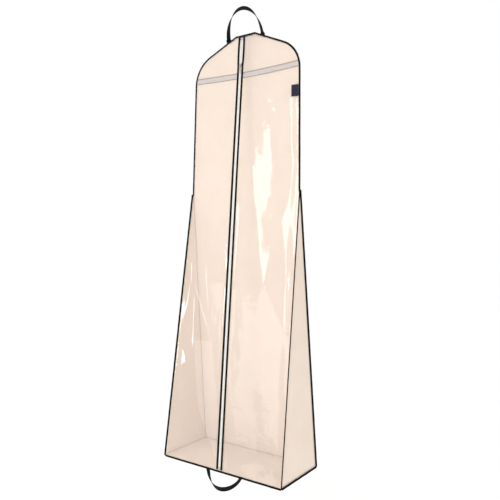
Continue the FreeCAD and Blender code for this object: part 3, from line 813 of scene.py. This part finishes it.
def bindings():
    """Every bound seam. The base's front and rear tapes point nearly down, clear of the zip's pull."""
    for side, name in SIDES:
        shoulder_tape(side, name)
    for face, name in FACES:
        neck_tape(face, name)
        depth = face * BASE_HALF_DEPTH
        outward = Vector((0, face * BASE_FIN_SLANT, -1))
        base_tape(name, at(-BASE_HALF_WIDTH, depth, 0), at(BASE_HALF_WIDTH, depth, 0), outward)
        for side, side_name in SIDES:
            edge_tape(side, side_name, face, name)
    for side, name in SIDES:
        x = side * BASE_HALF_WIDTH
        base_tape(name, at(x, -BASE_HALF_DEPTH, 0), at(x, BASE_HALF_DEPTH, 0), Vector((side, 0, -1)))
    add_piece("seam_stitching", joined(SEAM_STITCHES), "black_thread")


# ---------------------------------------------------------------- vent at the back of the shoulders

def back_point(x, height, offset):
    """A point of the back's plain surface, without its folds."""
    seam = seam_depth(height)
    return at(x, seam + (middle_depth(REAR, height) - seam) * fullness(x, height) + offset, height)


VENT_CELL = 0.0026
VENT_YARN = 0.0015
VENT_TAPE_WIDTH = 0.0052
VENT_TAPE_THICKNESS = 0.0008
VENT_TAPE_DEPTH = -0.0006
VENT_STITCH_OFFSET = 0.0016


def vent_net():
    """Open knitted net between the back and the yoke: a fine grid of round yarns."""
    height_count = round((VENT_HIGH - VENT_LOW) / VENT_CELL)
    width_count = round(2 * half_width(VENT_LOW) / VENT_CELL)

    def point(i, j):
        height = VENT_LOW + (VENT_HIGH - VENT_LOW) * j / height_count
        width = half_width(height) - 0.001
        return back_point(-width + 2 * width * i / width_count, height, FABRIC_OFFSET)

    net = add_piece("vent_net", grid(width_count, height_count, point), "vent_mesh")
    wires = net.modifiers.new("yarns", "WIREFRAME")
    wires.thickness = VENT_YARN
    wires.use_even_offset = False
    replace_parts(net, "vent_mesh")


def vent_ribbons():
    """Tapes that join the net to the back and the yoke on the inside, with their sewn rows."""
    rows = []
    for name, height in (("lower", VENT_LOW), ("upper", VENT_HIGH)):
        width = half_width(height) - 0.002
        points = [back_point(-width + 2 * width * step / 60, height, VENT_TAPE_DEPTH) for step in range(61)]
        frames = path_frames(points, lambda along: Vector((0, 0, 1)))
        section = tape_section(VENT_TAPE_WIDTH, VENT_TAPE_THICKNESS)
        ribbon = add_piece(f"vent_ribbon_{name}", swept(frames, section), "vent_tape")
        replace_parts(ribbon, f"vent_tape_{name}")
        for offset in (-VENT_STITCH_OFFSET, VENT_STITCH_OFFSET):
            rows.append(stitch_row(frames, offset, VENT_TAPE_THICKNESS / 2))
    add_piece("vent_stitching", joined(rows), "grey_thread")


# ---------------------------------------------------------------- zip

RIBBON_STITCH_OFFSET = 0.0037
RIBBON_STITCH_LIFT = 0.00052
COIL_PITCH = 0.00165
COIL_WIRE = 0.00034
COIL_MIDDLE = 0.0013
COIL_HALF_WIDTH = 0.00155
COIL_HALF_DEPTH = 0.00095
COIL_LEVEL = -0.0003
COIL_FOOT = 0.0145
COIL_HEAD = 0.0135
COIL_STEPS = 10
COIL_SIDES = 5


def zip_strip(near, far, level, thickness, low, high, crown=0.0):
    """A tape of the zip's own frame between two distances from its middle, on each side in turn."""
    for side, name in SIDES:
        ups = [place.z for place in spaced(Vector((0, 0, low)), Vector((0, 0, high)), 0.010)]
        centre = (near + far) / 2
        frames = [(on_zip(side * (centre + zip_parting(up)), level, up), Vector((side, 0, 0)), -ZIP_IN)
                  for up in ups]
        yield name, frames, swept(frames, tape_section(far - near, thickness, crown))


def zip_tapes():
    """White woven tapes that carry the coils."""
    strips = zip_strip(near=0.0016, far=0.0120, level=0.0003, thickness=0.0006, low=0.004,
                       high=ZIP_LENGTH - 0.005)
    for name, _, shape in strips:
        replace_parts(add_piece(f"zip_weave_{name}", shape, "zip_tape"), f"zip_tape_{name}")


def zip_ribbons():
    """Black ribbons that cover the edge of the film on both sides of the zip, twice stitched."""
    rows = []
    strips = zip_strip(near=0.0060, far=0.0160, level=-0.0021, thickness=0.0009, low=0.003,
                       high=ZIP_LENGTH - 0.004, crown=0.00012)
    for name, frames, shape in strips:
        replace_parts(add_piece(f"zip_ribbon_{name}", shape, "black_binding"), f"zip_binding_{name}")
        for offset in (-RIBBON_STITCH_OFFSET, RIBBON_STITCH_OFFSET):
            rows.append(stitch_row(frames, offset, RIBBON_STITCH_LIFT, (1,)))
    add_piece("zip_stitching", joined(rows), "black_thread")


def coil(side):
    """One monofilament coil, wound so that its heads reach between those of the other coil."""
    turns = round((ZIP_LENGTH - COIL_HEAD - COIL_FOOT) / COIL_PITCH)
    phase = 0.5 if side == RIGHT else 0.0
    centres = []
    for step in range(turns * COIL_STEPS + 1):
        turn = step / COIL_STEPS
        up = COIL_FOOT + (turn + phase) * COIL_PITCH
        angle = 2 * math.pi * turn
        x = COIL_MIDDLE + COIL_HALF_WIDTH * math.cos(angle) + zip_parting(up) * 1.1
        centres.append(on_zip(side * x, COIL_LEVEL + COIL_HALF_DEPTH * math.sin(angle), up))
    vertices = []
    for index, centre in enumerate(centres):
        before = centres[max(0, index - 1)]
        after = centres[min(len(centres) - 1, index + 1)]
        along = (after - before).normalized()
        first = along.cross(ZIP_UP).normalized()
        second = along.cross(first)
        for k in range(COIL_SIDES):
            angle = 2 * math.pi * k / COIL_SIDES
            vertices.append(centre + (first * math.cos(angle) + second * math.sin(angle)) * COIL_WIRE)
    faces = [tuple(reversed(range(COIL_SIDES))), tuple(range(len(vertices) - COIL_SIDES, len(vertices)))]
    for ring in range(len(centres) - 1):
        faces.extend(ring_faces(ring * COIL_SIDES, COIL_SIDES))
    return vertices, faces, [(0.0, 0.0)] * len(vertices)


def zip_coils():
    """The white coils of the two sides."""
    for side, name in SIDES:
        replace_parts(add_piece(f"zip_teeth_{name}", coil(side), "zip_coil"), f"zip_coil_{name}")


METAL_ROUNDING = {"zip_slider": 0.0005, "pull_tab": 0.0004, "zip_top_stops": 0.0004,
                  "zip_bottom_stop": 0.0004}


def dress_metal():
    """Round the edges of the metal nodes and give them the worn plating."""
    for node, width in METAL_ROUNDING.items():
        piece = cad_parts[node]
        piece.data.materials.clear()
        piece.data.materials.append(MATERIALS["zip_metal"])
        piece.data.polygons.foreach_set("use_smooth", [True] * len(piece.data.polygons))
        weld = piece.modifiers.new("weld", "WELD")
        weld.merge_threshold = 0.00001
        bevel = piece.modifiers.new("rounding", "BEVEL")
        bevel.width = width
        bevel.segments = 3
        bevel.limit_method = "ANGLE"
        bevel.angle_limit = math.radians(35)
        bevel.harden_normals = True


# ---------------------------------------------------------------- handles

LOOP_STEPS = 96
TOP_LOOP = {"span": 0.088, "front": 0.0, "start": -0.0127, "rise": 0.1163, "lean": 0.0357, "curl": 1}
TOP_TWIST = (-58.0, -153.0, -25.0)
BOTTOM_LOOP = {"span": 0.0888, "front": 0.1045, "start": -1.8475, "rise": -0.0745, "lean": 0.0365,
               "curl": 2}
BOTTOM_TWIST = (-90.0, -154.0, 0.0)
TOP_START = 0.004
TOP_EASE = 0.09
BOTTOM_START = 0.024
SLANT_REACH = 0.008
END_BEND = 0.0040
END_LEVEL = -1.8474
END_REACH = 0.034
END_BOX = (0.013, 0.009)


def loop_centre(loop, angle):
    """Middle of a webbing loop and its direction; angle runs from 0 at the left end to pi."""
    bend = math.sin(angle) ** loop["curl"]
    slope = loop["curl"] * math.sin(angle) ** (loop["curl"] - 1) * math.cos(angle)
    centre = Vector((-loop["span"] * math.cos(angle), -loop["front"] - loop["lean"] * bend,
                     loop["start"] + loop["rise"] * math.sin(angle)))
    along = Vector((loop["span"] * math.sin(angle), -loop["lean"] * slope, loop["rise"] * math.cos(angle)))
    return centre, along.normalized()


def loop_frames(loop, twist, first_share, ease=0.0):
    """Frames of a webbing loop that turns over between its legs and its crown.

    twist holds the turns of its legs and crown and the difference between its legs, in degrees; the
    turn eases in from nothing over the first part of the rise.
    """
    low, crown, skew = twist
    frames = []
    for step in range(LOOP_STEPS + 1):
        angle = math.pi * (first_share + (1 - 2 * first_share) * step / LOOP_STEPS)
        centre, along = loop_centre(loop, angle)
        back = Vector((0, 1, 0))
        back = (back - along * back.dot(along)).normalized()
        outward = along.cross(back) * math.copysign(1.0, loop["rise"])
        eased = smooth(math.sin(angle) / ease) if ease else 1.0
        turn = low + (crown - low) * math.sin(angle) ** 2 + skew * math.cos(angle)
        turn = math.radians(turn * eased)
        across = outward * math.cos(turn) + back * math.sin(turn)
        frames.append((centre, across, along.cross(across)))
    return frames


def with_legs(leg, loop):
    """A loop with the same leg at both ends; the leg is given for the left one, outermost point first."""
    mirrored = [tuple(Vector((-part.x, part.y, part.z)) for part in place) for place in reversed(leg)]
    return leg + loop + mirrored


def webbing_piece(name, frames, nodes):
    """A length of webbing that stands for these nodes, which it hides; it rides on no body."""
    section = tape_section(WEBBING_WIDTH, WEBBING_THICKNESS, 0.0001)
    strip = add_piece(name, swept(frames, section), "webbing", body=None)
    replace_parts(strip, *nodes)
    return strip


def shoulder_slope():
    """How steeply the straight part of the shoulder falls away from the neck."""
    return (NECK_HEIGHT - ARC_HIGH.y) / (ARC_HIGH.x - NECK_HALF_WIDTH)


def slant_ends(strip, level):
    """Cut the strip's ends along the slope of the shoulder seam, where the binding covers them."""
    for vertex in strip.data.vertices:
        share = min(1.0, max(0.0, (level - vertex.co.z) / SLANT_REACH))
        vertex.co.z -= share * shoulder_slope() * (abs(vertex.co.x) - TOP_LOOP["span"])


def top_handle():
    """Webbing carrying loop over the hanger opening, its legs sewn into the shoulder seams."""
    seam = -(TOP_LOOP["span"] - NECK_HALF_WIDTH) * shoulder_slope()
    loop = loop_frames(TOP_LOOP, TOP_TWIST, TOP_START, TOP_EASE)
    bottom = Vector((-TOP_LOOP["span"], 0, seam - 0.001))
    leg = [(bottom.lerp(loop[0][0], step / 6), Vector((-1, 0, 0)), Vector((0, -1, 0))) for step in range(6)]
    strip = webbing_piece("top_webbing", with_legs(leg, loop), ["top_handle"])
    slant_ends(strip, TOP_LOOP["start"])
    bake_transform(strip)


def bottom_handle():
    """Webbing carrying loop under the base, its ends folded out and sewn flat against it."""
    loop = loop_frames(BOTTOM_LOOP, BOTTOM_TWIST, BOTTOM_START)
    fold = -BOTTOM_LOOP["span"] - END_BEND
    front = -BOTTOM_LOOP["front"]
    across = Vector((0, -1, 0))
    leg = [(Vector((fold - END_REACH * (1 - step / 12), front, END_LEVEL)), across, Vector((0, 0, -1)))
           for step in range(12)]
    for step in range(9):
        angle = math.pi / 2 * step / 8
        centre = Vector((fold + END_BEND * math.sin(angle), front,
                         END_LEVEL - END_BEND * (1 - math.cos(angle))))
        leg.append((centre, across, Vector((-math.sin(angle), 0, -math.cos(angle)))))
    strip = webbing_piece("bottom_webbing", with_legs(leg, loop),
                          ["bottom_handle", "bottom_handle_end_left", "bottom_handle_end_right"])
    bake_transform(strip)
    end_stitching()


def end_stitching():
    """A sewn box with a cross on each flat end of the bottom webbing."""
    rows = []
    middle = BOTTOM_LOOP["span"] + END_BEND + END_REACH / 2
    for side, _ in SIDES:
        centre = Vector((side * middle, -BOTTOM_LOOP["front"], END_LEVEL))
        corners = [centre + Vector((x * END_BOX[0], y * END_BOX[1], 0))
                   for x, y in ((-1, -1), (1, -1), (1, 1), (-1, 1))]
        for first, second in ((0, 1), (1, 2), (2, 3), (3, 0), (0, 2), (1, 3)):
            points = spaced(corners[first], corners[second], 0.004)
            frames = path_frames(points, lambda along: Vector((0, 0, 1)).cross(along))
            level = -1 if frames[0][2].z > 0 else 1
            rows.append(stitch_row(frames, 0.0, WEBBING_THICKNESS / 2 + STITCH_LIFT, (level,)))
    add_piece("handle_stitching", joined(rows), "black_thread")


# ---------------------------------------------------------------- label

LABEL_MIDDLE = 1.571
LABEL_HEIGHT = 0.048
LABEL_WIDTH = 0.027
LABEL_LIFT = 0.0040
LABEL_CURL = 0.0022
LABEL_THICKNESS = 0.0007


def label():
    """Blank woven label, caught in the right side seam and lying on the film."""
    columns = 12
    rows = 18

    def point(i, j):
        height = LABEL_MIDDLE + LABEL_HEIGHT * (j / rows - 0.5)
        x = half_width(height) - HEM - LABEL_WIDTH * i / columns
        full = fullness(x, height)
        curl = LABEL_CURL * (i / columns) ** 2
        depth = middle_depth(FRONT, height) * full + LABEL_LIFT + curl
        return at(x, -depth, height - middle_drop(FRONT, height) * full)

    piece = add_piece("side_tag", grid(columns, rows, point), "label")
    thicken(piece, LABEL_THICKNESS)
    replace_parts(piece, "side_label")


# ---------------------------------------------------------------- stage

FLOOR_LEVEL = -2.25
FLOOR_HALF_WIDTH = 30
FILM_GAUGE = 36
CAMERA = {"place": (1.4320, -2.0208, -0.9097), "yaw": 34.54, "pitch": -0.46, "roll": 0.88, "lens": 41.05}


def look_from(place, yaw, pitch, roll, lens):
    """The camera, turned by yaw to the left of +Y, then pitch and roll, in degrees."""
    yaw, pitch, roll = (math.radians(angle) for angle in (yaw, pitch, roll))
    forward = Vector((-math.sin(yaw) * math.cos(pitch), math.cos(yaw) * math.cos(pitch), math.sin(pitch)))
    level = forward.cross(Vector((0, 0, 1))).normalized()
    upright = level.cross(forward)
    right = level * math.cos(roll) + upright * math.sin(roll)
    top = upright * math.cos(roll) - level * math.sin(roll)
    data = bpy.data.cameras.new("camera")
    data.lens = lens
    data.sensor_width = FILM_GAUGE
    camera = bpy.data.objects.new("camera", data)
    bpy.context.collection.objects.link(camera)
    rows = [(right[k], top[k], -forward[k], place[k]) for k in range(3)]
    camera.matrix_world = Matrix(rows + [(0, 0, 0, 1)])
    bpy.context.scene.camera = camera


def area_light(name, place, target, wide, tall, radiance):
    """A softbox aimed at a target. radiance is its brightness, whatever its size."""
    data = bpy.data.lights.new(name, "AREA")
    data.shape = "RECTANGLE"
    data.size = wide
    data.size_y = tall
    data.energy = radiance * math.pi * wide * tall
    light = bpy.data.objects.new(name, data)
    bpy.context.collection.objects.link(light)
    light.location = place
    light.rotation_mode = "QUATERNION"
    light.rotation_quaternion = (Vector(target) - Vector(place)).to_track_quat("-Z", "Y")
    light.visible_camera = False


def studio():
    """White surroundings, soft lights and a pale floor below the hanging bag."""
    world = bpy.data.worlds.new("studio")
    world.use_nodes = True
    world.node_tree.nodes["Background"].inputs["Color"].default_value = (1, 1, 1, 1)
    world.node_tree.nodes["Background"].inputs["Strength"].default_value = 1.0
    bpy.context.scene.world = world
    bpy.context.scene.view_settings.view_transform = "Standard"
    area_light("softbox", (-0.15, -2.6, -0.24), (0.10, 0, -0.60), wide=0.7, tall=1.2, radiance=3.1)
    area_light("left_strip", (-2.9, -1.9, -1.1), (0, 0, -0.9), wide=0.4, tall=1.0, radiance=9.0)
    area_light("low_fill", (0.2, -2.8, -1.6), (0, 0, -1.3), wide=4.5, tall=1.2, radiance=1.0)
    vertices = [(x * FLOOR_HALF_WIDTH, y * FLOOR_HALF_WIDTH, FLOOR_LEVEL)
                for x, y in ((-1, -1), (1, -1), (1, 1), (-1, 1))]
    mesh = bpy.data.meshes.new("floor")
    mesh.from_pydata(vertices, [], [(0, 1, 2, 3)])
    floor = bpy.data.objects.new("floor", mesh)
    bpy.context.collection.objects.link(floor)
    mesh.materials.append(shader(new_material("floor"), Base_Color=(1, 1, 1, 1), Roughness=0.9))


for side, name in SIDES:
    front_film(side, name)
    gusset_sheet(side, name)
back_sheet("back_sheet", "back_panel", 0.0, VENT_LOW - 0.0002)
back_sheet("yoke_sheet", "back_yoke", VENT_HIGH + 0.0002, NECK_HEIGHT)
base_sheet()
bindings()
inner_seams()
vent_net()
vent_ribbons()
zip_tapes()
zip_ribbons()
zip_coils()
dress_metal()
top_handle()
bottom_handle()
label()
studio()
look_from(**CAMERA)
